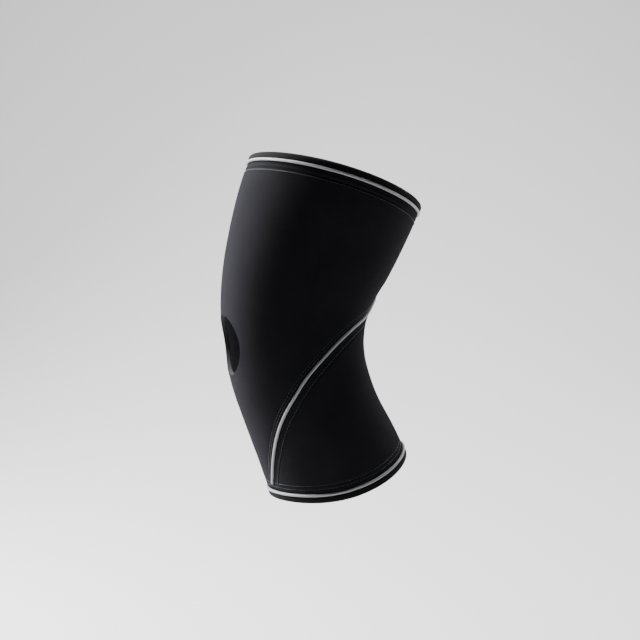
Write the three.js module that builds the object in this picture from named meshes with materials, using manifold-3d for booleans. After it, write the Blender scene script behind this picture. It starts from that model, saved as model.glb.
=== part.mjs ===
import * as THREE from 'three';
import { mergeVertices } from 'three/addons/utils/BufferGeometryUtils.js';
import Module from 'manifold-3d';

// Open knee sleeve of thick padded cloth, in the form it has when it is worn on a slightly bent knee.
// Millimetres, +Z up. The origin is on the sleeve's middle line, in the middle of the bend.
// The kneecap opening faces -Y and the outer side is +X. The sleeve is alike on both sides of X = 0,
// apart from the seam, whose lower end sits further round on the inner side.

// Bend of the sleeve's middle line
const thighLength = 122;
const calfLength = 135;
const bendLength = 100;
const thighLean = THREE.MathUtils.degToRad(17);
const calfLean = THREE.MathUtils.degToRad(16);
const thighRimRise = 2;
const calfRimDrop = 10;
const calfRimTilt = 1.2;

// Outer size of the cross-section at the thigh rim, the bend and the calf rim
const thighDepth = 154;
const thighWidth = 144;
const kneeDepth = 121;
const kneeWidth = 114;
const calfDepth = 124;
const calfWidth = 112;

// Cloth, piping and binding tape
const clothThickness = 4;
const pipingDiameter = 2.4;
const pipingSink = 1.1;
const tapeThickness = 1.6;
const thighTapeHeight = 5.5;
const calfTapeHeight = 5.8;
const tapeDome = 2.6;
const clearance = 0.3;
const seamGap = 0.4;

// Kneecap opening and seam
const kneecapHeight = 50;
const kneecapWidth = 53;
const kneecapDrop = 14.5;
const pipingTipGap = 10.5;

// One row per section. at is the share of the way from the bend to the rim, negative towards the calf.
// front and back are shares of the section's depth, width is a share of its width, and square
// says how far the section leaves the oval towards a rounded square.
const sections = [
  { at: -1.0, front: 0.484, back: 0.525, width: 0.99, square: 0 },
  { at: -0.75, front: 0.5, back: 0.468, width: 1.015, square: 0 },
  { at: -0.5, front: 0.526, back: 0.399, width: 1.0, square: 0.01 },
  { at: -0.25, front: 0.55, back: 0.388, width: 0.985, square: 0.02 },
  { at: 0, front: 0.578, back: 0.42, width: 1.0, square: 0.025 },
  { at: 0.25, front: 0.562, back: 0.452, width: 0.988, square: 0.02 },
  { at: 0.5, front: 0.553, back: 0.484, width: 0.994, square: 0.01 },
  { at: 0.75, front: 0.532, back: 0.499, width: 1.01, square: 0 },
  { at: 1.0, front: 0.495, back: 0.502, width: 1.0, square: 0 },
];

// One row per turn of the seam. outer and inner are degrees from the middle of the front, on the
// outer and the inner side, and at is a share of calfLength below the bend and of thighLength above it.
const seamTurns = [
  { outer: 1.5, inner: 29, at: -1.03 },
  { outer: 13, inner: 34, at: -0.893 },
  { outer: 29, inner: 45, at: -0.7 },
  { outer: 48, inner: 59, at: -0.502 },
  { outer: 68, inner: 75, at: -0.34 },
  { outer: 91, inner: 95, at: -0.19 },
  { outer: 120, inner: 121, at: -0.045 },
  { outer: 140, inner: 140, at: 0.055 },
  { outer: 154, inner: 154, at: 0.17 },
  { outer: 167, inner: 167, at: 0.26 },
  { outer: 180, inner: 180, at: 0.29 },
];

// How far a turn behind the sides carries the seam, against one in front of them, where the cloth is deeper
const backTurn = 0.7;

// Round ends of the seam piping, outermost first, in shares of its radius
const pipingTip = [
  { distance: 0, radius: 0.5 },
  { distance: 0.4, radius: 0.88 },
];

// Numbers of steps that the round shapes are made with
const stepsAround = 48;
const clothRows = 9;
const liningRows = 6;
const pipingSides = 6;
const seamSteps = 60;
const openingSteps = 20;
const domeSteps = 5;

const pipingRadius = pipingDiameter / 2;
const edgeStep = pipingSink + clearance;
const tapeProud = tapeThickness + clearance - edgeStep;

const wasm = await Module();
wasm.setup();

function mixed(share, calf, knee, thigh) {
  const end = share < 0 ? calf : thigh;
  return THREE.MathUtils.lerp(knee, end, Math.abs(share));
}

function sectionTable() {
  const places = [];
  const values = [];
  for (const row of sections) {
    const depth = mixed(row.at, calfDepth, kneeDepth, thighDepth);
    const width = mixed(row.at, calfWidth, kneeWidth, thighWidth);
    places.push(row.at * (row.at < 0 ? calfLength + calfRimDrop : thighLength + thighRimRise));
    values.push(row.front * depth, row.back * depth, row.width * width / 2, row.square);
  }
  return new THREE.CubicInterpolant(places, values, 4);
}

const sectionAt = sectionTable();

// Middle line: a straight calf, an arc of bendLength and a straight thigh in the plane X = 0.
function middleLine(along) {
  const bendRate = (thighLean + calfLean) / bendLength;
  const middleLean = (thighLean - calfLean) / 2;
  const inBend = THREE.MathUtils.clamp(along, -bendLength / 2, bendLength / 2);
  const lean = middleLean + bendRate * inBend;
  const beyond = along - inBend;
  const y = (Math.cos(middleLean) - Math.cos(lean)) / bendRate + beyond * Math.sin(lean);
  const z = (Math.sin(lean) - Math.sin(middleLean)) / bendRate + beyond * Math.cos(lean);
  return { y, z, lean };
}

function skinPoint(spot) {
  const [front, back, side, square] = sectionAt.evaluate(spot.along);
  const line = middleLine(spot.along);
  const swell = (1 - square * Math.cos(4 * spot.around)) / (1 - square);
  const ahead = Math.cos(spot.around) * swell;
  const offset = ahead > 0 ? -front * ahead : -back * ahead;
  return new THREE.Vector3(
    side * Math.sin(spot.around) * swell,
    line.y + offset * Math.cos(line.lean),
    line.z - offset * Math.sin(line.lean),
  );
}

function outwardAt(spot) {
  const small = 0.001;
  const turned = skinPoint({ around: spot.around + small, along: spot.along });
  const turnedBack = skinPoint({ around: spot.around - small, along: spot.along });
  const raised = skinPoint({ around: spot.around, along: spot.along + small });
  const lowered = skinPoint({ around: spot.around, along: spot.along - small });
  return turned.sub(turnedBack).cross(raised.sub(lowered)).normalize();
}

function clothPoint(spot, depth) {
  return skinPoint(spot).addScaledVector(outwardAt(spot), -depth);
}

function thighRim(around) {
  return thighLength + thighRimRise * Math.sin(around) ** 2;
}

function calfRim(around) {
  return -calfLength - calfRimDrop * Math.sin(around) ** 2 - calfRimTilt * Math.cos(around);
}

// A line over the cloth, as frames: its point, the outward direction and the direction in the cloth
// square to the line, which is towards the thigh where the line runs round from the front to +X.
function framesAlong(spots, closed) {
  const points = spots.map(skinPoint);
  const last = spots.length - 1;
  return spots.map((spot, i) => {
    const next = closed ? points[(i + 1) % spots.length] : points[Math.min(i + 1, last)];
    const previous = closed ? points[(i + last) % spots.length] : points[Math.max(i - 1, 0)];
    const outward = outwardAt(spot);
    const across = outward.clone().cross(next.clone().sub(previous)).normalize();
    return { point: points[i], outward, across };
  });
}

function framePoint(frame, across, outward) {
  return frame.point.clone().addScaledVector(frame.across, across).addScaledVector(frame.outward, outward);
}

function rimSpots(rim) {
  return Array.from({ length: stepsAround }, (_, i) => {
    const around = i / stepsAround * 2 * Math.PI;
    return { around, along: rim(around) };
  });
}

// Closed solid through rings of points, each ring turning left as seen from the next one.
function loft(rings, closed) {
  const count = rings[0].length;
  const positions = rings.flat().flatMap((point) => [point.x, point.y, point.z]);
  const index = [];
  const spans = closed ? rings.length : rings.length - 1;
  for (let i = 0; i < spans; i++) {
    const here = i * count;
    const there = (i + 1) % rings.length * count;
    for (let j = 0; j < count; j++) {
      const k = (j + 1) % count;
      index.push(here + j, here + k, there + k);
      index.push(here + j, there + k, there + j);
    }
  }
  if (!closed) {
    const end = (rings.length - 1) * count;
    for (let j = 1; j < count - 1; j++) {
      index.push(0, j + 1, j);
      index.push(end, end + j, end + j + 1);
    }
  }
  const geometry = new THREE.BufferGeometry();
  geometry.setAttribute('position', new THREE.Float32BufferAttribute(positions, 3));
  geometry.setIndex(index);
  return geometry;
}

function sweep(frames, outline, closed) {
  const ringAt = (frame) => outline.map(([across, outward]) => framePoint(frame, across, outward));
  return loft(frames.map(ringAt), closed);
}

function solid(geometry) {
  const bare = geometry.clone();
  bare.deleteAttribute('normal');
  bare.deleteAttribute('uv');
  const merged = mergeVertices(bare);
  return new wasm.Manifold(new wasm.Mesh({
    numProp: 3,
    vertProperties: new Float32Array(merged.attributes.position.array),
    triVerts: new Uint32Array(merged.index.array),
  }));
}

function geometryOf(body) {
  const mesh = body.getMesh();
  const geometry = new THREE.BufferGeometry();
  geometry.setAttribute('position', new THREE.BufferAttribute(new Float32Array(mesh.vertProperties), 3));
  geometry.setIndex(new THREE.BufferAttribute(new Uint32Array(mesh.triVerts), 1));
  return geometry;
}

// Distance from a rim to the edge of the cloth's full thickness, past the tape and the piping
function clothEdge(tapeHeight) {
  return tapeHeight + pipingDiameter + 2 * clearance;
}

// The cloth from rim to rim before it is divided. Each end is stepped for its tape and piping.
function clothTube() {
  const calfFrames = framesAlong(rimSpots(calfRim), true);
  const thighFrames = framesAlong(rimSpots(thighRim), true);
  const lip = tapeThickness + clearance;
  const rings = calfFrames.map((calfFrame, i) => {
    const thighFrame = thighFrames[i];
    const around = i / stepsAround * 2 * Math.PI;
    const ring = [
      framePoint(calfFrame, lip, -edgeStep),
      framePoint(calfFrame, lip, edgeStep - clothThickness),
      framePoint(calfFrame, calfTapeHeight + clearance, edgeStep - clothThickness),
      framePoint(calfFrame, calfTapeHeight + clearance, -clothThickness),
    ];
    const low = calfRim(around) + clothEdge(calfTapeHeight);
    const high = thighRim(around) - clothEdge(thighTapeHeight);
    for (let row = 1; row <= liningRows; row++) {
      const along = THREE.MathUtils.lerp(low, high, row / (liningRows + 1));
      ring.push(clothPoint({ around, along }, clothThickness));
    }
    ring.push(
      framePoint(thighFrame, -thighTapeHeight - clearance, -clothThickness),
      framePoint(thighFrame, -thighTapeHeight - clearance, edgeStep - clothThickness),
      framePoint(thighFrame, -lip, edgeStep - clothThickness),
      framePoint(thighFrame, -lip, -edgeStep),
      framePoint(thighFrame, -clothEdge(thighTapeHeight), -edgeStep),
      framePoint(thighFrame, -clothEdge(thighTapeHeight), 0),
    );
    for (let row = clothRows; row >= 1; row--) {
      const along = THREE.MathUtils.lerp(low, high, row / (clothRows + 1));
      ring.push(clothPoint({ around, along }, 0));
    }
    ring.push(
      framePoint(calfFrame, clothEdge(calfTapeHeight), 0),
      framePoint(calfFrame, clothEdge(calfTapeHeight), -edgeStep),
    );
    return ring;
  });
  return solid(loft(rings, true));
}

// The seam runs from the calf rim beside the front, up round the back and down to the other side.
function seamLine() {
  const height = (turn) => turn.at * (turn.at < 0 ? calfLength : thighLength);
  const even = (turn) => turn - (1 - backTurn) * THREE.MathUtils.clamp(turn - 90, 0, 180);
  const outer = seamTurns.map((turn) => new THREE.Vector2(even(turn.outer), height(turn)));
  const inner = seamTurns.slice(0, -1).toReversed();
  const back = inner.map((turn) => new THREE.Vector2(even(360 - turn.inner), height(turn)));
  return new THREE.SplineCurve([...outer, ...back]);
}

function seamSpot(line, share) {
  const place = line.getPointAt(THREE.MathUtils.clamp(share, 0, 1));
  const behind = THREE.MathUtils.clamp((place.x - 90) / backTurn, 0, 180);
  return { around: THREE.MathUtils.degToRad(place.x + (1 - backTurn) * behind), along: place.y };
}

function seamFrames(distances) {
  const line = seamLine();
  const length = line.getLength();
  return framesAlong(distances.map((distance) => seamSpot(line, distance / length)), false);
}

function evenly(from, to, steps) {
  return Array.from({ length: steps + 1 }, (_, i) => THREE.MathUtils.lerp(from, to, i / steps));
}

function bar(halfWidth, top, bottom) {
  return [[-halfWidth, bottom], [halfWidth, bottom], [halfWidth, top], [-halfWidth, top]];
}

// The whole wall below the seam moved up by lift, reaching past the cloth on every other side
function belowSeam(lift) {
  const reach = 1.5 * clothThickness;
  const past = -calfLength - calfRimDrop - calfRimTilt - reach;
  const line = seamLine();
  const frames = seamFrames(evenly(0, line.getLength(), seamSteps));
  const rings = frames.map((frame, i) => {
    const { around, along: height } = seamSpot(line, i / seamSteps);
    const rows = evenly(past, height, liningRows).slice(0, -1);
    return [
      ...rows.map((along) => clothPoint({ around, along }, reach)),
      framePoint(frame, lift, -reach),
      framePoint(frame, lift, reach),
      ...rows.toReversed().map((along) => clothPoint({ around, along }, -reach)),
    ];
  });
  return solid(loft(rings, false));
}

function pipingBed() {
  const start = clothEdge(calfTapeHeight) + pipingTipGap - clearance;
  const end = seamLine().getLength() - start;
  const outline = bar(pipingRadius + clearance, clothThickness, -edgeStep);
  return solid(sweep(seamFrames(evenly(start, end, seamSteps)), outline, false));
}

function kneecapPlug() {
  const spot = { around: 0, along: -kneecapDrop };
  const outward = outwardAt(spot);
  const shape = new THREE.Shape();
  shape.absellipse(0, 0, kneecapWidth / 2, kneecapHeight / 2, 0, 2 * Math.PI, false, 0);
  const plug = new THREE.ExtrudeGeometry(shape, {
    depth: kneeDepth / 2,
    bevelEnabled: false,
    curveSegments: openingSteps,
  });
  plug.translate(0, 0, -kneeDepth / 4);
  plug.rotateX(Math.PI / 2 - Math.asin(outward.z));
  const centre = skinPoint(spot);
  plug.translate(centre.x, centre.y, centre.z);
  return solid(plug);
}

function pipingOutline(radius) {
  return Array.from({ length: pipingSides }, (_, i) => {
    const turn = i / pipingSides * 2 * Math.PI;
    return [radius * Math.cos(turn), radius * Math.sin(turn) + pipingRadius - pipingSink];
  });
}

function seamPipingBody() {
  const start = clothEdge(calfTapeHeight) + pipingTipGap;
  const end = seamLine().getLength() - start;
  const tip = pipingTip.map((step) => step.distance * pipingRadius);
  const distances = [
    ...tip.map((step) => start + step),
    ...evenly(start + pipingRadius, end - pipingRadius, seamSteps),
    ...tip.toReversed().map((step) => end - step),
  ];
  const frames = seamFrames(distances);
  const rings = frames.map((frame, i) => {
    const fromEnd = Math.min(i, frames.length - 1 - i);
    const radius = pipingRadius * (pipingTip[fromEnd]?.radius ?? 1);
    return pipingOutline(radius).map(([across, outward]) => framePoint(frame, across, outward));
  });
  return loft(rings, false);
}

function rimPiping(rim, tapeHeight, inward) {
  const middle = inward * (tapeHeight + clearance + pipingRadius);
  const outline = pipingOutline(pipingRadius).map(([across, outward]) => [across + middle, outward]);
  return sweep(framesAlong(rimSpots(rim), true), outline, true);
}

// Tape folded over a rim: two flaps and a domed edge, with a slot for the thinned cloth.
function rimTape(rim, tapeHeight, inward) {
  const halfThickness = clothThickness / 2 + tapeProud;
  const centre = -clothThickness / 2;
  const outline = [];
  for (let i = 0; i <= domeSteps; i++) {
    const turn = i / domeSteps * Math.PI;
    outline.push([tapeDome * (1 - Math.sin(turn)), centre + halfThickness * Math.cos(turn)]);
  }
  outline.push(
    [tapeHeight, centre - halfThickness],
    [tapeHeight, centre - halfThickness + tapeThickness],
    [tapeThickness, centre - halfThickness + tapeThickness],
    [tapeThickness, centre + halfThickness - tapeThickness],
    [tapeHeight, centre + halfThickness - tapeThickness],
    [tapeHeight, centre + halfThickness],
  );
  const turned = outline.map(([across, outward]) => [inward * across, outward]);
  return sweep(framesAlong(rimSpots(rim), true), inward > 0 ? turned : turned.reverse(), true);
}

function piece(name, geometry, colour, roughness) {
  const material = new THREE.MeshStandardMaterial({ color: colour, roughness, metalness: 0 });
  const mesh = new THREE.Mesh(geometry, material);
  geometry.computeVertexNormals();
  mesh.name = name;
  return mesh;
}

const tube = clothTube();
const bed = pipingBed();
const frontCloth = tube.subtract(belowSeam(seamGap / 2)).subtract(bed).subtract(kneecapPlug());
const calfCloth = tube.intersect(belowSeam(-seamGap / 2)).subtract(bed);

const clothColour = 0x1f1e22;
const tapeColour = 0x1a1a1c;
const pipingColour = 0xb9bcc0;

const sleeve = new THREE.Group();
sleeve.add(
  piece('front_panel', geometryOf(frontCloth), clothColour, 0.7),
  piece('calf_panel', geometryOf(calfCloth), clothColour, 0.7),
  piece('seam_piping', seamPipingBody(), pipingColour, 0.5),
  piece('top_piping', rimPiping(thighRim, thighTapeHeight, -1), pipingColour, 0.5),
  piece('bottom_piping', rimPiping(calfRim, calfTapeHeight, 1), pipingColour, 0.5),
  piece('top_binding', rimTape(thighRim, thighTapeHeight, -1), tapeColour, 0.85),
  piece('bottom_binding', rimTape(calfRim, calfTapeHeight, 1), tapeColour, 0.85),
);

export default sleeve;
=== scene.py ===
import math

import bpy
import numpy as np
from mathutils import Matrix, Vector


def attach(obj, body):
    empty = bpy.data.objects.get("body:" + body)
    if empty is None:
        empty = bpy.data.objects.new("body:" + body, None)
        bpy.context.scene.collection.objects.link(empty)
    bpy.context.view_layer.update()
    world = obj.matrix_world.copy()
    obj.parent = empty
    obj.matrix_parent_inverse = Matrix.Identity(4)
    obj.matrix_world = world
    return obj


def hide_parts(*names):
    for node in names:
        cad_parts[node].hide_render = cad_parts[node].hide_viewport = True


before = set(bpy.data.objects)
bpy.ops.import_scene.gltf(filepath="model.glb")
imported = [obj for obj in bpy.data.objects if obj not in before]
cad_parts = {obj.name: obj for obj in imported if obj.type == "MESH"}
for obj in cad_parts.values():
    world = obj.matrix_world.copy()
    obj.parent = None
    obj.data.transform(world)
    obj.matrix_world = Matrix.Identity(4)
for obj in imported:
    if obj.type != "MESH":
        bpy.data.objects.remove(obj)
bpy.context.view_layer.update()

# A place on the sleeve is (around, along): radians from the middle of the front towards the outer side,
# and metres along the middle line from the middle of the bend, up towards the thigh rim.

# Sizes in metres, in the solids' frame: +Z up, the kneecap opening towards -Y, the outer side +X
THIGH_LENGTH = 0.122
CALF_LENGTH = 0.135
BEND_LENGTH = 0.1
THIGH_LEAN = math.radians(17)
CALF_LEAN = math.radians(16)
THIGH_RIM_RISE = 0.002
CALF_RIM_DROP = 0.01
CALF_RIM_TILT = 0.0012
THIGH_DEPTH, THIGH_WIDTH = 0.154, 0.144
KNEE_DEPTH, KNEE_WIDTH = 0.121, 0.114
CALF_DEPTH, CALF_WIDTH = 0.124, 0.112
CLOTH = 0.004
PIPING = 0.0024
PIPING_SINK = 0.0011
TAPE = 0.0016
TAPE_DOME = 0.0026
THIGH_TAPE = 0.0055
CALF_TAPE = 0.0058
CLEARANCE = 0.0003
SEAM_GAP = 0.0004
KNEECAP_HEIGHT = 0.05
KNEECAP_WIDTH = 0.053
KNEECAP_DROP = 0.0145
PIPING_TIP_GAP = 0.0105

EDGE_STEP = PIPING_SINK + CLEARANCE
TAPE_PROUD = TAPE + CLEARANCE - EDGE_STEP
PIPING_LIFT = PIPING / 2 - PIPING_SINK
LIP = TAPE + CLEARANCE

# One row per section: share of the way to the rim, front and back as shares of the depth,
# width as a share of the width, and how square the section is
SECTIONS = [
    {"at": -1.0, "front": 0.484, "back": 0.525, "width": 0.99, "square": 0},
    {"at": -0.75, "front": 0.5, "back": 0.468, "width": 1.015, "square": 0},
    {"at": -0.5, "front": 0.526, "back": 0.399, "width": 1.0, "square": 0.01},
    {"at": -0.25, "front": 0.55, "back": 0.388, "width": 0.985, "square": 0.02},
    {"at": 0, "front": 0.578, "back": 0.42, "width": 1.0, "square": 0.025},
    {"at": 0.25, "front": 0.562, "back": 0.452, "width": 0.988, "square": 0.02},
    {"at": 0.5, "front": 0.553, "back": 0.484, "width": 0.994, "square": 0.01},
    {"at": 0.75, "front": 0.532, "back": 0.499, "width": 1.01, "square": 0},
    {"at": 1.0, "front": 0.495, "back": 0.502, "width": 1.0, "square": 0},
]

# One row per turn of the seam: degrees from the middle of the front on the outer and the inner side,
# and share of the length
SEAM_TURNS = [
    {"outer": 1.5, "inner": 29, "at": -1.03},
    {"outer": 13, "inner": 34, "at": -0.893},
    {"outer": 29, "inner": 45, "at": -0.7},
    {"outer": 48, "inner": 59, "at": -0.502},
    {"outer": 68, "inner": 75, "at": -0.34},
    {"outer": 91, "inner": 95, "at": -0.19},
    {"outer": 120, "inner": 121, "at": -0.045},
    {"outer": 140, "inner": 140, "at": 0.055},
    {"outer": 154, "inner": 154, "at": 0.17},
    {"outer": 167, "inner": 167, "at": 0.26},
    {"outer": 180, "inner": 180, "at": 0.29},
]

# Way that the seam covers in a turn behind the sides, as a share of its way in front of them
BACK_TURN = 0.7

# Sewn grooves in the cloth, by their distance from the middle of the seam piping on either side
FRONT_GROOVES = [
    {"at": 0.0033, "depth": 0.00025, "width": 0.0006},
    {"at": 0.0053, "depth": 0.0003, "width": 0.0006},
]
CALF_GROOVES = [
    {"at": 0.0037, "depth": 0.00025, "width": 0.0009},
    {"at": 0.0077, "depth": 0.00045, "width": 0.0007},
]

# Sewn grooves in the cloth, by their distance from the edge of the piping at the rim
THIGH_GROOVES = [
    {"at": 0.0019, "depth": 0.0007, "width": 0.0012},
    {"at": 0.006, "depth": 0.0008, "width": 0.0011},
]
CALF_RIM_GROOVES = [
    {"at": 0.0036, "depth": 0.0005, "width": 0.0009},
    {"at": 0.007, "depth": 0.0004, "width": 0.0009},
]

# Radius of the cloth's cut edges, at the kneecap opening and where no piping lies in the seam
CUT_ROLL = 0.0006

# Thread of the sewn rows
STITCH_PITCH = 0.003
STITCH_LENGTH = 0.0021
THREAD = 0.00045
FRONT_STITCHES = [0.0033, 0.0053]
CALF_STITCHES = [0.0066]
THIGH_STITCHES = [0.0076]
CALF_RIM_STITCHES = [0.0036, 0.007]

# How far the middle of a stitch's thread lies above the floor of its groove
THREAD_LIFT = THREAD * 0.15

# Rings of one stitch: share of its length, and thickness as a share of the thread's
STITCH_RINGS = np.array([[0.0, 0.25], [0.12, 0.8], [0.5, 1.0], [0.88, 0.8], [1.0, 0.25]])
STITCH_SIDES = 6

# The photograph's viewpoint: turn from the front, height, distance, aim to the right and up, and the width
# that the picture shows at that distance
CAMERA_AZIMUTH = math.radians(72)
CAMERA_HEIGHT = math.radians(1.5)
CAMERA_DISTANCE = 0.9
CAMERA_AIM = (0.014, 0.0008)
FRAME_WIDTH = 0.544
RIGHT = np.array([math.cos(CAMERA_AZIMUTH), math.sin(CAMERA_AZIMUTH), 0])
AHEAD = np.array([-math.sin(CAMERA_AZIMUTH), math.cos(CAMERA_AZIMUTH), 0])
UP = np.array([0, 0, 1])


def section_rows():
    """The table's rows in metres: their places along the sleeve, and front, back, half width and square."""
    places = []
    values = []
    for row in SECTIONS:
        below = row["at"] < 0
        share = abs(row["at"])
        depth = KNEE_DEPTH + ((CALF_DEPTH if below else THIGH_DEPTH) - KNEE_DEPTH) * share
        width = KNEE_WIDTH + ((CALF_WIDTH if below else THIGH_WIDTH) - KNEE_WIDTH) * share
        reach = CALF_LENGTH + CALF_RIM_DROP if below else THIGH_LENGTH + THIGH_RIM_RISE
        places.append(row["at"] * reach)
        values.append([row["front"] * depth, row["back"] * depth, row["width"] * width / 2, row["square"]])
    return np.array(places), np.array(values)


PLACES, VALUES = section_rows()


def section(along):
    """Front, back, half width and square, on a smooth curve through the table's rows."""
    gaps = np.diff(PLACES)
    rises = np.diff(VALUES, axis=0) / gaps[:, None]
    slopes = np.vstack([rises[:1], (rises[:-1] + rises[1:]) / 2, rises[-1:]])
    i = np.clip(np.searchsorted(PLACES, along, side="right") - 1, 0, len(gaps) - 1)
    t = np.clip((along - PLACES[i]) / gaps[i], 0, 1)[..., None]
    gap = gaps[i][..., None]
    start = (2 * t**3 - 3 * t**2 + 1) * VALUES[i] + (t**3 - 2 * t**2 + t) * gap * slopes[i]
    end = (3 * t**2 - 2 * t**3) * VALUES[i + 1] + (t**3 - t**2) * gap * slopes[i + 1]
    return np.moveaxis(start + end, -1, 0)


def skin(around, along):
    """Points on the cloth's outer face."""
    around, along = np.broadcast_arrays(np.asarray(around, float), np.asarray(along, float))
    front, back, side, square = section(along)
    rate = (THIGH_LEAN + CALF_LEAN) / BEND_LENGTH
    middle = (THIGH_LEAN - CALF_LEAN) / 2
    bent = np.clip(along, -BEND_LENGTH / 2, BEND_LENGTH / 2)
    lean = middle + rate * bent
    y = (math.cos(middle) - np.cos(lean)) / rate + (along - bent) * np.sin(lean)
    z = (np.sin(lean) - math.sin(middle)) / rate + (along - bent) * np.cos(lean)
    swell = (1 - square * np.cos(4 * around)) / (1 - square)
    ahead = np.cos(around) * swell
    offset = np.where(ahead > 0, -front * ahead, -back * ahead)
    x = side * np.sin(around) * swell
    return np.stack([x, y + offset * np.cos(lean), z - offset * np.sin(lean)], -1)


def unit(vectors):
    return vectors / np.linalg.norm(vectors, axis=-1, keepdims=True)


def run_along(points):
    """Length from the first point to each of the points."""
    return np.concatenate([[0], np.cumsum(np.linalg.norm(np.diff(points, axis=0), axis=1))])


def outward(around, along):
    """Direction square to the cloth's outer face, away from the leg."""
    turn = 0.001
    rise = 0.000001
    turned = skin(around + turn, along) - skin(around - turn, along)
    raised = skin(around, along + rise) - skin(around, along - rise)
    return unit(np.cross(turned, raised))


def cloth(around, along, depth):
    """Points at a depth under the outer face."""
    around, along, depth = np.broadcast_arrays(around, along, depth)
    return skin(around, along) - outward(around, along) * depth[..., None]


def thigh_rim(around):
    return THIGH_LENGTH + THIGH_RIM_RISE * np.sin(around) ** 2


def calf_rim(around):
    return -CALF_LENGTH - CALF_RIM_DROP * np.sin(around) ** 2 - CALF_RIM_TILT * np.cos(around)


def cloth_edge(tape):
    """Distance from a rim to the cloth's full thickness, past the tape and the piping."""
    return tape + PIPING + 2 * CLEARANCE


def seam_points(steps):
    """The seam as (around, along), from the calf rim up round the back and down to the calf rim."""
    heights = [row["at"] * (CALF_LENGTH if row["at"] < 0 else THIGH_LENGTH) * 1000 for row in SEAM_TURNS]
    outer = [(row["outer"], height) for row, height in zip(SEAM_TURNS, heights)]
    inner = [(360 - row["inner"], height) for row, height in zip(SEAM_TURNS, heights)]
    turns = np.array(outer + inner[-2::-1])
    turns[:, 0] -= (1 - BACK_TURN) * np.clip(turns[:, 0] - 90, 0, 180)
    ends = np.vstack([turns[:1], turns, turns[-1:]])
    t = np.linspace(0, 1, steps, endpoint=False)[:, None]
    spans = []
    for i in range(len(turns) - 1):
        before, start, end, after = ends[i : i + 4]
        leave = (end - before) / 2
        arrive = (after - start) / 2
        cubic = (2 * start - 2 * end + leave + arrive) * t**3
        square = (3 * end - 3 * start - 2 * leave - arrive) * t**2
        spans.append(cubic + square + leave * t + start)
    line = np.vstack([*spans, turns[-1:]])
    line[:, 0] += (1 - BACK_TURN) * np.clip((line[:, 0] - 90) / BACK_TURN, 0, 180)
    return np.radians(line[:, 0]), line[:, 1] / 1000


SEAM_AROUND, SEAM_ALONG = seam_points(60)
SEAM_SPOTS = skin(SEAM_AROUND, SEAM_ALONG)
SEAM_RUN = run_along(SEAM_SPOTS)


def seam_scale():
    """Distance square to the seam for each metre along the sleeve, at every seam point."""
    run = unit(np.gradient(SEAM_SPOTS, axis=0))
    across = unit(np.cross(outward(SEAM_AROUND, SEAM_ALONG), run))
    step = 0.0001
    raised = (skin(SEAM_AROUND, SEAM_ALONG + step) - skin(SEAM_AROUND, SEAM_ALONG - step)) / (2 * step)
    return np.sum(raised * across, axis=1)


SEAM_SCALE = seam_scale()


def seam_at(around):
    """Place of the seam and its scale at each turn round the sleeve, carried on straight past its ends."""
    turn = np.mod(around, 2 * math.pi)
    outer_slope = (SEAM_ALONG[20] - SEAM_ALONG[0]) / (SEAM_AROUND[20] - SEAM_AROUND[0])
    inner_slope = (SEAM_ALONG[-21] - SEAM_ALONG[-1]) / (SEAM_AROUND[-21] - SEAM_AROUND[-1])
    past_outer = np.mod(SEAM_AROUND[0] - turn, 2 * math.pi)
    past_inner = np.mod(turn - SEAM_AROUND[-1], 2 * math.pi)
    outer = SEAM_ALONG[0] - past_outer * outer_slope
    inner = SEAM_ALONG[-1] + past_inner * inner_slope
    between = np.maximum(past_outer, past_inner) < math.pi / 2
    along = np.where(between, np.maximum(outer, inner), np.interp(turn, SEAM_AROUND, SEAM_ALONG))
    end_scale = np.where(outer > inner, SEAM_SCALE[0], SEAM_SCALE[-1])
    scale = np.where(between, end_scale, np.interp(turn, SEAM_AROUND, SEAM_SCALE))
    return along, scale


def smooth(value, low, high):
    """A soft step from 0 at the low value to 1 at the high one."""
    t = np.clip((value - low) / (high - low), 0, 1)
    return t * t * (3 - 2 * t)


def rolled(distance, radius):
    """Depth of a rounded edge of that radius, at a distance from the edge."""
    t = 1 - np.clip(distance / radius, 0, 1)
    return radius * (1 - np.sqrt(1 - t**2))


def grooved(distance, grooves):
    """Depth of the sewn grooves at a distance."""
    return sum(row["depth"] * np.exp(-(((distance - row["at"]) / row["width"]) ** 2)) for row in grooves)


def seam_depth(around, along):
    """How far the cloth's face dips beside the seam. Distances are square to the seam.

    The bed of the piping ends a little past the cord's tips, and below it the two cloths meet edge to edge.
    """
    seam, scale = seam_at(around)
    distance = (along - seam) * scale
    bed_end = -CALF_LENGTH + cloth_edge(CALF_TAPE) + PIPING_TIP_GAP * 0.8
    piped = smooth(along, bed_end - 0.001, bed_end + 0.001)
    bed = 0.0001 + (PIPING / 2 + 0.00005) * piped
    roll = CUT_ROLL * (1 + piped)
    reach = np.abs(distance)
    edge = np.where(reach < bed, EDGE_STEP * piped + CUT_ROLL * (1 - piped), rolled(reach - bed, roll))
    rows = np.where(distance > 0, grooved(reach, FRONT_GROOVES), grooved(reach, CALF_GROOVES))
    return edge + rows * smooth(reach, 0.0008, 0.0022)


def rim_depth(height, tape, grooves):
    """How far the cloth's face dips near a rim, by the distance from the rim."""
    beyond = height - cloth_edge(tape)
    edge = np.where(beyond < 0, EDGE_STEP, rolled(beyond, EDGE_STEP))
    return edge + grooved(beyond + CLEARANCE, grooves) * (beyond > 0)


def lining_depth(around, along):
    """Depth of the inner face, which steps out under the inner flaps of the tapes."""
    low = smooth(along - calf_rim(around), CALF_TAPE + CLEARANCE, CALF_TAPE + CLEARANCE + 0.0005)
    high = smooth(thigh_rim(around) - along, THIGH_TAPE + CLEARANCE, THIGH_TAPE + CLEARANCE + 0.0005)
    return CLOTH - EDGE_STEP * (1 - low * high)


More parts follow.
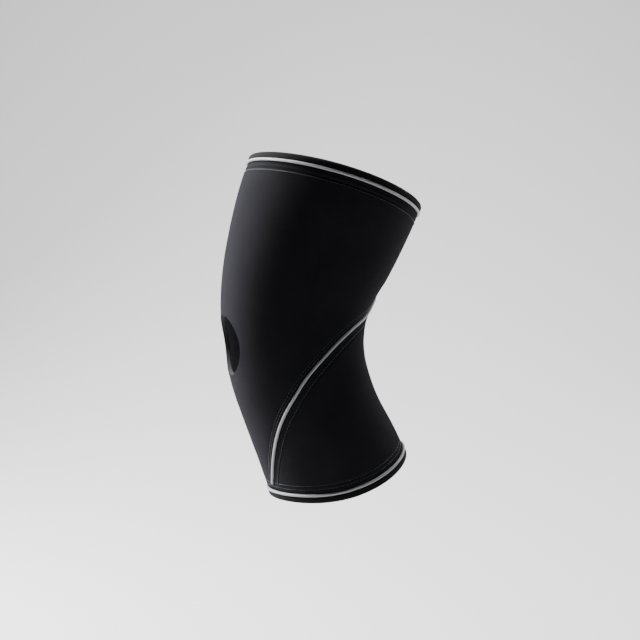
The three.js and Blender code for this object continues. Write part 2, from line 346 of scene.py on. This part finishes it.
def face_depth(around, along):
    """Depth of the outer face, which dips beside the tapes, the pipings and the sewn rows."""
    low = rim_depth(along - calf_rim(around), CALF_TAPE, CALF_RIM_GROOVES)
    high = rim_depth(thigh_rim(around) - along, THIGH_TAPE, THIGH_GROOVES)
    return np.maximum(np.maximum(low, high), seam_depth(around, along))


# Steps of the fine mesh in millimetres, as distances from the seam, a rim piping and the kneecap opening
BED_STEPS = [0, 0.7, 1.2, 1.35, 1.42, 1.55, 1.75, 2.05, 2.4]
FRONT_STEPS = [2.75, 3.05, 3.3, 3.55, 3.9, 4.35, 4.75, 5.05, 5.35, 5.65, 6, 6.5, 7.2]
CALF_STEPS = [2.9, 3.4, 3.9, 4.5, 5.3, 6, 6.5, 6.9, 7.2, 7.5, 7.8, 8.1, 8.5, 9, 9.8]
RIM_STEPS = [0, 0.1, 0.25, 0.5, 0.8, 1.2, 1.6, 2, 2.4, 2.8, 3.3, 3.8, 4.3, 4.7, 5, 5.4, 5.8, 6.3, 6.9]
PAST_RIM_STEPS = [7.4, 7.9, 8.5, 9.4]
SEAM_LAYERS = np.array(BED_STEPS + FRONT_STEPS) / 1000
CALF_LAYERS = np.array(BED_STEPS + CALF_STEPS) / 1000
RIM_LAYERS = np.array(RIM_STEPS + PAST_RIM_STEPS) / 1000
CORNER_LAYERS = np.array([0.05, 0.15, 0.3, 0.5, 0.8]) / 1000

# Distance from the seam at which the opening's band may start, past the sewn rows
PAST_SEAM_ROWS = 0.012

# Steps of the mesh round a rim, for its cord and tape, and across a cut edge of the cloth
ROUND_STEPS = 320
CUT_STEPS = 4


def rim_layers(tape):
    """Steps from the cloth's lip under the tape to just past the sewn rows."""
    flap = tape + CLEARANCE
    under_tape = [LIP, flap - 0.0002, flap + 0.0003, flap + 0.0006]
    return np.concatenate([under_tape, cloth_edge(tape) + RIM_LAYERS])


def kneecap_edge():
    """The opening's edge as (turn, around, along): an oval square to the cloth at its middle.

    The places start near the oval and are moved a dozen times by what they still miss it.
    """
    turn = np.linspace(0, 2 * math.pi, 361)
    across = KNEECAP_WIDTH / 2 * np.cos(turn)
    up = KNEECAP_HEIGHT / 2 * np.sin(turn)
    middle = np.array([-KNEECAP_DROP])
    centre = skin(0.0, middle)[0]
    normal = outward(0.0, middle)[0]
    rise = np.cross(normal, [1, 0, 0])
    stretch = 1.4
    around = across / (KNEE_WIDTH / 2)
    along = -KNEECAP_DROP + up / stretch
    for _ in range(12):
        spot = skin(around, along) - centre
        around = around + (across - spot[:, 0]) / (KNEE_WIDTH / 2)
        along = along + (up - spot @ rise) / stretch
    return turn, around, along


EDGE_TURN, EDGE_AROUND, EDGE_ALONG = kneecap_edge()

# The opening's half turn, top, lowest place, middle and half height on the sleeve
HOLE_AROUND = EDGE_AROUND.max()
HOLE_TOP = EDGE_ALONG.max()
HOLE_LOW = EDGE_ALONG.min()
HOLE_MIDDLE = (HOLE_TOP + HOLE_LOW) / 2
HOLE_HALF = (HOLE_TOP - HOLE_LOW) / 2

# Half size of the part of the grid that is drawn towards the oval, in half sizes of the opening
HOLE_SPREAD = 1.55


def warped(around, along):
    """Moves grid points near the opening so that the grid's square hole becomes the oval."""
    x = around / HOLE_AROUND
    y = (along - HOLE_MIDDLE) / HOLE_HALF
    ring = np.maximum(np.abs(x), np.abs(y))
    near = np.clip((HOLE_SPREAD - ring) / (HOLE_SPREAD - 1), 0, 1)
    safe = np.maximum(ring, 0.001)
    turn = np.mod(np.arctan2(y, x), 2 * math.pi)
    oval_around = np.interp(turn, EDGE_TURN, EDGE_AROUND)
    oval_along = np.interp(turn, EDGE_TURN, EDGE_ALONG)
    around = around + near * (oval_around - x / safe * HOLE_AROUND)
    along = along + near * (oval_along - HOLE_MIDDLE - y / safe * HOLE_HALF)
    return around, along, ring


def make_piece(name, points, faces, smooth_angle, materials, uv=None, kinds=None):
    """One piece of the scene. Edges turned by less than the angle, in degrees, look smooth.

    Kinds give each face the number of its material.
    """
    mesh = bpy.data.meshes.new(name)
    mesh.from_pydata(points.tolist(), [], faces)
    for material in materials:
        mesh.materials.append(material)
    if kinds is not None:
        mesh.polygons.foreach_set("material_index", kinds)
    if uv is not None:
        layer = mesh.uv_layers.new(name="cloth")
        layer.data.foreach_set("uv", np.asarray(uv, float).ravel())
    mesh.validate()
    piece = bpy.data.objects.new(name, mesh)
    bpy.context.scene.collection.objects.link(piece)
    bpy.ops.object.select_all(action="DESELECT")
    piece.select_set(True)
    bpy.context.view_layer.objects.active = piece
    bpy.ops.object.shade_smooth_by_angle(angle=math.radians(smooth_angle))
    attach(piece, "root")
    return piece


def grid_quads(rows, columns, wraps):
    """Faces between the neighbours of a grid, whose last column may meet its first."""
    index = np.arange(rows * columns).reshape(rows, columns)
    if wraps:
        index = np.hstack([index, index[:, :1]])
    corners = [index[:-1, :-1], index[:-1, 1:], index[1:, 1:], index[1:, :-1]]
    return np.stack(corners, -1).reshape(-1, 4)


def free_edges(quads):
    """Edges that only one face has."""
    edges = np.concatenate([quads[:, [k, (k + 1) % 4]] for k in range(4)])
    keys = np.sort(edges, axis=1) @ np.array([quads.max() + 1, 1])
    _, first, uses = np.unique(keys, return_index=True, return_counts=True)
    return edges[first[uses == 1]]


def cloth_uv(places):
    """Lengths round and along the sleeve at the faces' corners, with no jump at the full turn."""
    turn = places[..., 0]
    turn = np.where(turn.max(1, keepdims=True) - turn > math.pi, turn + 2 * math.pi, turn)
    return np.stack([turn * KNEE_WIDTH / 2, places[..., 1]], -1).reshape(-1, 2)


def wall(name, around, along, wraps, face, lining, materials, hole=None):
    """A closed wall from a grid of places: an outer face, an inner face and the cut edges between them."""
    outer = cloth(around, along, face).reshape(-1, 3)
    inner = cloth(around, along, lining).reshape(-1, 3)
    place = np.stack([around.ravel(), along.ravel()], 1)
    count = len(outer)
    quads = grid_quads(*around.shape, wraps)
    if hole is not None:
        quads = quads[~np.all(hole.ravel()[quads], axis=1)]
    free = free_edges(quads)
    spots = np.unique(free)
    points = [outer, inner]
    places = [place, place]
    layers = [spots]
    for step in range(1, CUT_STEPS):
        share = step / CUT_STEPS
        points.append(outer[spots] * (1 - share) + inner[spots] * share)
        places.append(place[spots])
        layers.append(2 * count + (step - 1) * len(spots) + np.arange(len(spots)))
    layers.append(spots + count)
    a, b = np.searchsorted(spots, free).T
    faces = [quads, quads[:, ::-1] + count]
    for low, high in zip(layers[:-1], layers[1:]):
        faces.append(np.stack([low[b], low[a], high[a], high[b]], 1))
    faces = np.concatenate(faces)
    uv = cloth_uv(np.concatenate(places)[faces])
    kinds = np.repeat([0, 1, 2], [len(quads), len(quads), len(faces) - 2 * len(quads)])
    used, numbers = np.unique(faces, return_inverse=True)
    faces = numbers.reshape(faces.shape).tolist()
    return make_piece(name, np.concatenate(points)[used], faces, 35, materials, uv, kinds)


def panel_height(turn):
    """Height of the lower panel over the lip at the calf rim, below zero where there is no lower panel."""
    seam, scale = seam_at(turn)
    return seam - SEAM_GAP / 2 / scale - calf_rim(turn) - LIP


def lower_corners(height):
    """The turns between which the lower panel is higher than that, on the outer and the inner side."""
    turn = np.linspace(0, 2 * math.pi, 14401)
    inside = turn[panel_height(turn) > height]
    return inside[0], inside[-1]


def front_columns():
    """Turns round the sleeve, closer together at the opening's edge and at the lower panel's corners."""
    edge = HOLE_AROUND + CORNER_LAYERS / (KNEE_WIDTH / 2)
    spread = HOLE_AROUND * HOLE_SPREAD
    side = np.concatenate([np.linspace(0, HOLE_AROUND, 19), edge, np.linspace(edge[-1], spread, 9)[1:]])
    side = np.append(side, np.linspace(spread, math.pi, 72)[1:])
    turn = np.concatenate([side, 2 * math.pi - side[1:-1]])
    for corner in lower_corners(0):
        near = np.abs(turn - corner) < 0.016
        turn = np.append(turn[~near], corner + np.array([-0.012, -0.004, 0, 0.004, 0.012]))
    return np.sort(turn)


def stacked(low, high, layers_low, layers_high, between):
    """Rows from low to high: steps from each end, kept within half the height, and even rows between."""
    height = high - low
    rows = []
    for k, step in enumerate(layers_low):
        rows.append(low + np.minimum(step, height * (k + 1) / (2 * len(layers_low) + between)))
    top = []
    for k, step in enumerate(layers_high):
        top.append(high - np.minimum(step, height * (k + 1) / (2 * len(layers_high) + between)))
    start = rows[-1]
    end = top[-1] if top else high
    for k in range(1, between + 1):
        rows.append(start + (end - start) * k / (between + 1))
    if not top:
        rows.append(high)
    return rows + top[::-1]


def front_low_rows(seam, scale, rim, band_low):
    """Rows from the seam, or from the lip at the calf rim in front, up to the opening's band."""
    on_seam = seam + SEAM_GAP / 2 / scale
    seam_share = smooth(on_seam - rim, 0, 0.006)
    rim_steps = rim_layers(CALF_TAPE)[: len(SEAM_LAYERS)] - LIP
    steps = [a * seam_share / scale + b * (1 - seam_share) for a, b in zip(SEAM_LAYERS, rim_steps)]
    return stacked(np.maximum(on_seam, rim), band_low, steps, [], 26)


def opening_rows(band_low, band_high):
    """Rows across the opening's band, closer together at the opening's edge."""
    inside = np.linspace(-1, 1, 21)
    corner = CORNER_LAYERS / (KNEECAP_HEIGHT / 2)
    outside = np.linspace(1 + corner[-1], HOLE_SPREAD, 7)[1:]
    marks = np.concatenate([-outside[::-1], -1 - corner[::-1], inside, 1 + corner, outside])
    shares = (marks[1:] + HOLE_SPREAD) / (2 * HOLE_SPREAD)
    return [band_low + (band_high - band_low) * share for share in shares]


def front_panel(materials):
    turn = front_columns()
    centred = np.where(turn > math.pi, turn - 2 * math.pi, turn)
    seam, scale = seam_at(turn)
    high = thigh_rim(turn) - LIP
    reach = HOLE_HALF * HOLE_SPREAD
    band_low = np.maximum(HOLE_MIDDLE - reach, seam + PAST_SEAM_ROWS / scale)
    # Away from the opening the band's top moves to two fifths of the way from its bottom to the rim
    away = smooth(smooth(np.abs(centred), HOLE_AROUND * HOLE_SPREAD, math.pi), 0, 0.3)
    band_high = HOLE_MIDDLE + reach
    band_high = band_high + (band_low + (high - band_low) * 0.4 - band_high) * away
    rows = front_low_rows(seam, scale, calf_rim(turn) + LIP, band_low)
    rows += opening_rows(band_low, band_high)
    upper = list(rim_layers(THIGH_TAPE) - LIP)
    rows += stacked(band_high, high, [np.zeros_like(high)], upper, 44)[1:]
    along = np.stack(rows)
    around, along, ring = warped(np.broadcast_to(centred, along.shape), along)
    hole_roll = rolled(np.maximum(ring - 1, 0) * KNEECAP_HEIGHT / 2, CUT_ROLL)
    face = face_depth(around, along) + hole_roll
    lining = lining_depth(around, along) - hole_roll
    return wall("front_panel_cloth", around, along, True, face, lining, materials, ring < 1.0001)


def calf_panel(materials):
    start, end = lower_corners(0.0012)
    outer = np.linspace(start, math.radians(40), 40, endpoint=False)
    inner = np.linspace(end, math.radians(310), 32, endpoint=False)
    turn = np.concatenate([outer, np.linspace(outer[-1], inner[-1], 132)[1:-1], inner[::-1]])
    seam, scale = seam_at(turn)
    low = calf_rim(turn) + LIP
    high = seam - SEAM_GAP / 2 / scale
    lower = list(rim_layers(CALF_TAPE) - LIP)
    upper = [step / scale for step in CALF_LAYERS]
    along = np.stack(stacked(low, high, lower, upper, 40))
    around = np.broadcast_to(turn, along.shape)
    face = face_depth(around, along)
    lining = lining_depth(around, along)
    return wall("calf_panel_cloth", around, along, False, face, lining, materials)


def line_frames(around, along, closed):
    """Points of a line on the cloth, with the directions outwards and across it."""
    points = skin(around, along)
    if closed:
        ahead = np.roll(points, -1, 0) - np.roll(points, 1, 0)
    else:
        ahead = np.gradient(points, axis=0)
    normal = outward(around, along)
    return points, normal, unit(np.cross(normal, ahead))


def swept(name, frames, outline, closed, material, scale=None, cap=False):
    """A closed outline of (across, outward) places carried along a line on the cloth."""
    points, normal, across = frames
    count = len(points)
    sides = len(outline)
    reach = np.ones(count) if scale is None else scale
    middle = outline.mean(0)
    local = middle + (outline - middle)[None] * reach[:, None, None]
    spots = points[:, None] + across[:, None] * local[..., 0:1] + normal[:, None] * local[..., 1:2]
    index = np.arange(count * sides).reshape(count, sides)
    here = index if closed else index[:-1]
    there = np.roll(index, -1, 0) if closed else index[1:]
    quads = np.stack([here, np.roll(here, -1, 1), np.roll(there, -1, 1), there], -1).reshape(-1, 4)
    run = run_along(np.vstack([points, points[:1]]))
    girth = run_along(np.vstack([outline, outline[:1]]))
    spans = count if closed else count - 1
    u0 = np.repeat(run[:spans], sides)
    u1 = np.repeat(run[1 : spans + 1], sides)
    v0 = np.tile(girth[:-1], spans)
    v1 = np.tile(girth[1:], spans)
    corners = [np.stack(corner, 1) for corner in ((u0, v0), (u0, v1), (u1, v1), (u1, v0))]
    uv = np.stack(corners, 1).reshape(-1, 2)
    faces = quads.tolist()
    if cap:
        faces.append(index[0][::-1].tolist())
        faces.append(index[-1].tolist())
        uv = np.vstack([uv, np.zeros((2 * sides, 2))])
    return make_piece(name, spots.reshape(-1, 3), faces, 40, [material], uv)


def even_turns(steps):
    return np.arange(steps) / steps * 2 * math.pi


def round_outline(radius):
    """Section of a piping, sunk in its bed."""
    turn = even_turns(16)
    return np.stack([radius * np.cos(turn), radius * np.sin(turn) + PIPING_LIFT], 1)


def seam_places(distances):
    """Places at those distances along the seam from its outer end."""
    share = np.clip(distances, 0, SEAM_RUN[-1])
    return np.interp(share, SEAM_RUN, SEAM_AROUND), np.interp(share, SEAM_RUN, SEAM_ALONG)


def seam_piping(material):
    start = cloth_edge(CALF_TAPE) + PIPING_TIP_GAP
    end = SEAM_RUN[-1] - start
    radius = PIPING / 2
    tip_turn = np.linspace(0.12, math.pi / 2, 7)[:-1]
    tip = radius * (1 - np.cos(tip_turn))
    tip_size = np.sin(tip_turn)
    body = np.linspace(start + radius, end - radius, 420)
    places = np.concatenate([start + tip, body, (end - tip)[::-1]])
    size = np.concatenate([tip_size, np.ones(len(body)), tip_size[::-1]])
    frames = line_frames(*seam_places(places), False)
    return swept("seam_piping_cord", frames, round_outline(radius), False, material, size, True)


def rim_piping(name, rim, tape, inward, material):
    """A cord beside the tape. Inward is -1, down from the thigh rim, or 1, up from the calf rim."""
    turn = even_turns(ROUND_STEPS)
    outline = round_outline(PIPING / 2)
    outline[:, 0] += inward * (tape + CLEARANCE + PIPING / 2)
    return swept(name, line_frames(turn, rim(turn), True), outline, True, material)


def rim_tape(name, rim, tape, inward, material):
    """Tape folded over the rim, with a domed edge and rounded flap ends."""
    turn = even_turns(ROUND_STEPS)
    half = CLOTH / 2 + TAPE_PROUD
    centre = -CLOTH / 2
    dome = np.linspace(0, math.pi, 25)
    outline = [(TAPE_DOME * (1 - math.sin(t)), centre + half * math.cos(t)) for t in dome]
    outline += flap_end(tape, centre - half + TAPE / 2)
    outline += [(TAPE, centre - half + TAPE), (TAPE, centre + half - TAPE)]
    outline += flap_end(tape, centre + half - TAPE / 2)
    outline = np.array(outline)
    outline[:, 0] *= inward
    if inward < 0:
        outline = outline[::-1]
    return swept(name, line_frames(turn, rim(turn), True), outline, True, material)


def flap_end(tape, middle):
    """Rounded end of a flap, from its face towards the leg to its outward face."""
    turns = np.linspace(0, math.pi, 9)
    radius = TAPE / 2
    return [(tape - radius + radius * math.sin(t), middle - radius * math.cos(t)) for t in turns]


def stitch_points(start, end, normal):
    """Rings of one stitch, which bulges a little in its middle and is thin at its ends."""
    turn = even_turns(STITCH_SIDES)
    side = unit(np.cross(normal, end - start))
    ring = side * np.cos(turn)[:, None] + normal * np.sin(turn)[:, None]
    share = STITCH_RINGS[:, :1]
    middle = start + (end - start) * share + normal * np.sin(share * math.pi) * THREAD * 0.35
    radius = STITCH_RINGS[:, 1:] * THREAD / 2
    return (middle[:, None] + ring[None] * radius[..., None]).reshape(-1, 3)


def stitch_faces(base):
    """Faces of one stitch, whose points start at that number."""
    faces = []
    for low in range(base, base + (len(STITCH_RINGS) - 1) * STITCH_SIDES, STITCH_SIDES):
        high = low + STITCH_SIDES
        for j in range(STITCH_SIDES):
            k = (j + 1) % STITCH_SIDES
            faces.append((low + j, low + k, high + k, high + j))
    faces.append(tuple(base + j for j in reversed(range(STITCH_SIDES))))
    faces.append(tuple(high + j for j in range(STITCH_SIDES)))
    return faces


def on_line(distance, run, values):
    """Value at a distance along a line, between the values at its points."""
    return np.array([np.interp(distance, run, column) for column in values.T])


def stitches(name, lines, material):
    """Short rounded stitches of thread, each lying in its groove along a line of places."""
    points = []
    faces = []
    for around, along, depth in lines:
        spots = cloth(around, along, depth)
        run = run_along(spots)
        normals = outward(around, along)
        count = round(run[-1] / STITCH_PITCH)
        for place in (np.arange(count) + 0.15) * run[-1] / count:
            faces += stitch_faces(len(points) * len(STITCH_RINGS) * STITCH_SIDES)
            start = on_line(place, run, spots)
            end = on_line(place + STITCH_LENGTH, run, spots)
            points.append(stitch_points(start, end, unit(on_line(place, run, normals))))
    return make_piece(name, np.concatenate(points), faces, 60, [material])


def seam_stitch_line(offset):
    """Places and depths of a sewn row beside the seam, upwards or, below zero, downwards of it."""
    start = cloth_edge(CALF_TAPE) + 0.003
    places = np.linspace(start, SEAM_RUN[-1] - start, 900)
    around, along = seam_places(places)
    _, scale = seam_at(around)
    along = along + offset / scale
    kept = along > calf_rim(around) + start
    around = around[kept]
    along = along[kept]
    return around, along, face_depth(around, along) - THREAD_LIFT


def rim_stitch_line(rim, tape, inward, offset):
    """Places and depths of a sewn row beside the piping at a rim."""
    around = np.linspace(0, 2 * math.pi, 700)
    along = rim(around) + inward * (cloth_edge(tape) - CLEARANCE + offset)
    return around, along, face_depth(around, along) - THREAD_LIFT


def new_material(name, colour, roughness, specular, sheen=0, tint=(1, 1, 1), sheen_roughness=0.5):
    material = bpy.data.materials.new(name)
    material.use_nodes = True
    shader = material.node_tree.nodes["Principled BSDF"]
    shader.inputs["Base Color"].default_value = (*colour, 1)
    shader.inputs["Roughness"].default_value = roughness
    shader.inputs["Specular IOR Level"].default_value = specular
    shader.inputs["Sheen Weight"].default_value = sheen
    shader.inputs["Sheen Tint"].default_value = (*tint, 1)
    shader.inputs["Sheen Roughness"].default_value = sheen_roughness
    return material


def math_node(material, operation, first, second=None):
    node = material.node_tree.nodes.new("ShaderNodeMath")
    node.operation = operation
    for socket, value in zip(node.inputs, (first, second)):
        if value is None:
            continue
        if isinstance(value, (int, float)):
            socket.default_value = value
        else:
            material.node_tree.links.new(value, socket)
    return node.outputs[0]


def uv_parts(material):
    """The piece's own lengths round and along it, in metres."""
    nodes = material.node_tree.nodes
    mapped = nodes.new("ShaderNodeUVMap")
    mapped.uv_map = "cloth"
    split = nodes.new("ShaderNodeSeparateXYZ")
    material.node_tree.links.new(mapped.outputs[0], split.inputs[0])
    return split.outputs[0], split.outputs[1]


def wave(material, turns):
    """A sine wave that repeats at each whole turn."""
    return math_node(material, "SINE", math_node(material, "MULTIPLY", turns, 2 * math.pi))


def knit_height(material, wale, course):
    """Plain knit: columns of slanted loops of that width, one above the other."""
    u, v = uv_parts(material)
    column = math_node(material, "DIVIDE", u, wale)
    within = math_node(material, "SUBTRACT", math_node(material, "FRACT", column), 0.5)
    apart = math_node(material, "ABSOLUTE", within)
    loops = wave(material, math_node(material, "ADD", math_node(material, "DIVIDE", v, course), apart))
    rounded = math_node(material, "COSINE", math_node(material, "MULTIPLY", within, math.pi))
    return math_node(material, "MULTIPLY", rounded, math_node(material, "ADD", loops, 2.2))


def noise(material, size, detail):
    nodes = material.node_tree.nodes
    place = nodes.new("ShaderNodeTexCoord")
    texture = nodes.new("ShaderNodeTexNoise")
    texture.inputs["Scale"].default_value = 1 / size
    texture.inputs["Detail"].default_value = detail
    material.node_tree.links.new(place.outputs["Object"], texture.inputs["Vector"])
    return texture.outputs["Fac"]


def bump(material, height, strength, distance, before=None):
    node = material.node_tree.nodes.new("ShaderNodeBump")
    node.inputs["Strength"].default_value = strength
    node.inputs["Distance"].default_value = distance
    material.node_tree.links.new(height, node.inputs["Height"])
    if before is not None:
        material.node_tree.links.new(before, node.inputs["Normal"])
    return node.outputs[0]


def set_normal(material, normal):
    shader = material.node_tree.nodes["Principled BSDF"]
    material.node_tree.links.new(normal, shader.inputs["Normal"])


def mottled(material, low, high, size):
    """Slight change between two colours over the piece, in patches of about that size."""
    shader = material.node_tree.nodes["Principled BSDF"]
    ramp = material.node_tree.nodes.new("ShaderNodeValToRGB")
    dark, light = ramp.color_ramp.elements
    dark.position = 0.3
    light.position = 0.7
    dark.color = (*low, 1)
    light.color = (*high, 1)
    material.node_tree.links.new(noise(material, size, 3), ramp.inputs[0])
    material.node_tree.links.new(ramp.outputs[0], shader.inputs["Base Color"])


def knit_cloth(name, sheen):
    material = new_material(
        name,
        colour=(0.01, 0.01, 0.012),
        roughness=0.9,
        specular=0.03,
        sheen=sheen,
        tint=(0.7, 0.68, 0.82),
    )
    mottled(material, (0.009, 0.009, 0.0108), (0.0115, 0.0112, 0.0135), 0.03)
    padding = bump(material, noise(material, 0.02, 2), strength=0.25, distance=0.0006)
    loops = knit_height(material, wale=0.0006, course=0.0005)
    set_normal(material, bump(material, loops, strength=0.5, distance=0.00006, before=padding))
    return material


def foam_cloth():
    material = new_material(
        "foam_edge",
        colour=(0.012, 0.012, 0.013),
        roughness=0.85,
        specular=0.2,
        sheen=0.1,
        tint=(0.6, 0.6, 0.65),
    )
    cells = noise(material, 0.0004, 4)
    set_normal(material, bump(material, cells, strength=0.8, distance=0.0002))
    return material


def piping_cloth():
    material = new_material(
        "piping_satin",
        colour=(0.27, 0.274, 0.285),
        roughness=0.38,
        specular=0.5,
        sheen=0.05,
        tint=(0.9, 0.92, 1.0),
        sheen_roughness=0.4,
    )
    u, v = uv_parts(material)
    slant = math_node(material, "DIVIDE", math_node(material, "ADD", u, v), 0.00045)
    set_normal(material, bump(material, wave(material, slant), strength=0.45, distance=0.00005))
    return material


def tape_knit():
    material = new_material(
        "rim_tape_knit",
        colour=(0.007, 0.0068, 0.007),
        roughness=0.85,
        specular=0.05,
        sheen=0.03,
        tint=(0.6, 0.58, 0.6),
    )
    u, _ = uv_parts(material)
    ribs = wave(material, math_node(material, "DIVIDE", u, 0.0011))
    fuzz = bump(material, noise(material, 0.0003, 3), strength=0.3, distance=0.0001)
    set_normal(material, bump(material, ribs, strength=0.6, distance=0.00012, before=fuzz))
    return material


def thread_material():
    return new_material(
        "black_thread",
        colour=(0.02, 0.02, 0.022),
        roughness=0.4,
        specular=0.5,
        sheen=0.3,
        tint=(0.7, 0.7, 0.8),
        sheen_roughness=0.4,
    )


cloth_look = knit_cloth("knit_outer", 0.02)
lining_look = knit_cloth("knit_lining", 0.1)
foam_look = foam_cloth()
piping_look = piping_cloth()
tape_look = tape_knit()
thread_look = thread_material()

front = front_panel([cloth_look, lining_look, foam_look])
calf = calf_panel([cloth_look, lining_look, foam_look])
seam_cord = seam_piping(piping_look)
top_cord = rim_piping("top_piping_cord", thigh_rim, THIGH_TAPE, -1, piping_look)
bottom_cord = rim_piping("bottom_piping_cord", calf_rim, CALF_TAPE, 1, piping_look)
top_tape = rim_tape("top_binding_tape", thigh_rim, THIGH_TAPE, -1, tape_look)
bottom_tape = rim_tape("bottom_binding_tape", calf_rim, CALF_TAPE, 1, tape_look)

front_lines = [seam_stitch_line(distance) for distance in FRONT_STITCHES]
calf_lines = [seam_stitch_line(-distance) for distance in CALF_STITCHES]
top_lines = [rim_stitch_line(thigh_rim, THIGH_TAPE, -1, distance) for distance in THIGH_STITCHES]
bottom_lines = [rim_stitch_line(calf_rim, CALF_TAPE, 1, distance) for distance in CALF_RIM_STITCHES]
front_rows = stitches("front_seam_stitches", front_lines, thread_look)
calf_rows = stitches("calf_seam_stitches", calf_lines, thread_look)
top_rows = stitches("top_rim_stitches", top_lines, thread_look)
bottom_rows = stitches("bottom_rim_stitches", bottom_lines, thread_look)

for piece, node, slot in [
    (front, "front_panel", "front_cloth"),
    (calf, "calf_panel", "calf_cloth"),
    (seam_cord, "seam_piping", "piping"),
    (top_cord, "top_piping", "piping"),
    (bottom_cord, "bottom_piping", "piping"),
    (top_tape, "top_binding", "tape"),
    (bottom_tape, "bottom_binding", "tape"),
]:
    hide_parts(node)


def backdrop():
    """A pale floor that curves up into a pale wall behind the sleeve."""
    low = -0.42
    radius = 2.2
    near = -3.0
    far = 0.6
    top = 4.0
    half_width = 6.0
    profile = [(near, low), (far, low)]
    for turn in np.linspace(0, math.pi / 2, 17)[1:]:
        profile.append((far + radius * math.sin(turn), low + radius * (1 - math.cos(turn))))
    profile.append((far + radius, top))
    sides = (-half_width, half_width)
    points = [RIGHT * across + AHEAD * depth + UP * height for across in sides for depth, height in profile]
    count = len(profile)
    faces = [(i, count + i, count + i + 1, i + 1) for i in range(count - 1)]
    mesh = bpy.data.meshes.new("floor")
    mesh.from_pydata([point.tolist() for point in points], [], faces)
    for polygon in mesh.polygons:
        polygon.use_smooth = True
    mesh.materials.append(new_material("pale_floor", (0.6, 0.6, 0.61), roughness=0.9, specular=0.2))
    floor = bpy.data.objects.new("floor", mesh)
    bpy.context.scene.collection.objects.link(floor)


def pointed(data, place, direction):
    """Puts a camera or a light at a place and turns it to a direction."""
    made = bpy.data.objects.new(data.name, data)
    bpy.context.scene.collection.objects.link(made)
    made.location = place
    made.rotation_mode = "QUATERNION"
    made.rotation_quaternion = Vector(direction).to_track_quat("-Z", "Y")
    return made


def photo_camera():
    back = UP * math.sin(CAMERA_HEIGHT) - AHEAD * math.cos(CAMERA_HEIGHT)
    aim = RIGHT * CAMERA_AIM[0] + UP * CAMERA_AIM[1]
    data = bpy.data.cameras.new("photo_camera")
    data.sensor_width = 36
    data.lens = data.sensor_width * CAMERA_DISTANCE / FRAME_WIDTH
    data.clip_start = 0.05
    bpy.context.scene.camera = pointed(data, aim + back * CAMERA_DISTANCE, -back)


def softbox(name, size, power, colour=(1, 1, 1)):
    data = bpy.data.lights.new(name, "AREA")
    data.shape = "RECTANGLE"
    data.size, data.size_y = size
    data.energy = power
    data.color = colour
    return data


def side_light(data, turn, height, distance):
    """A light at a turn from the camera's side, with left negative, and at a height, both in degrees."""
    azimuth = math.radians(turn)
    raised = math.radians(height)
    level = RIGHT * math.sin(azimuth) - AHEAD * math.cos(azimuth)
    away = level * math.cos(raised) + UP * math.sin(raised)
    pointed(data, away * distance, -away)


def soft_world(strength):
    world = bpy.data.worlds.new("soft_world")
    world.use_nodes = True
    shade = world.node_tree.nodes["Background"]
    shade.inputs[0].default_value = (0.95, 0.97, 1.0, 1)
    shade.inputs[1].default_value = strength
    bpy.context.scene.world = world


photo_camera()
backdrop()
soft_world(0.03)
side_light(softbox("left_softbox", (0.5, 1.3), 95), turn=-106, height=30, distance=1.2)
side_light(softbox("right_softbox", (0.5, 1.3), 9, (1.0, 0.98, 0.96)), turn=125, height=8, distance=1.6)
# A wide light over the sleeve that faces the wall behind it
pointed(softbox("backdrop_softbox", (3.0, 1.0), 130), AHEAD * 0.35 + UP * 1.5, AHEAD - UP * 0.85)
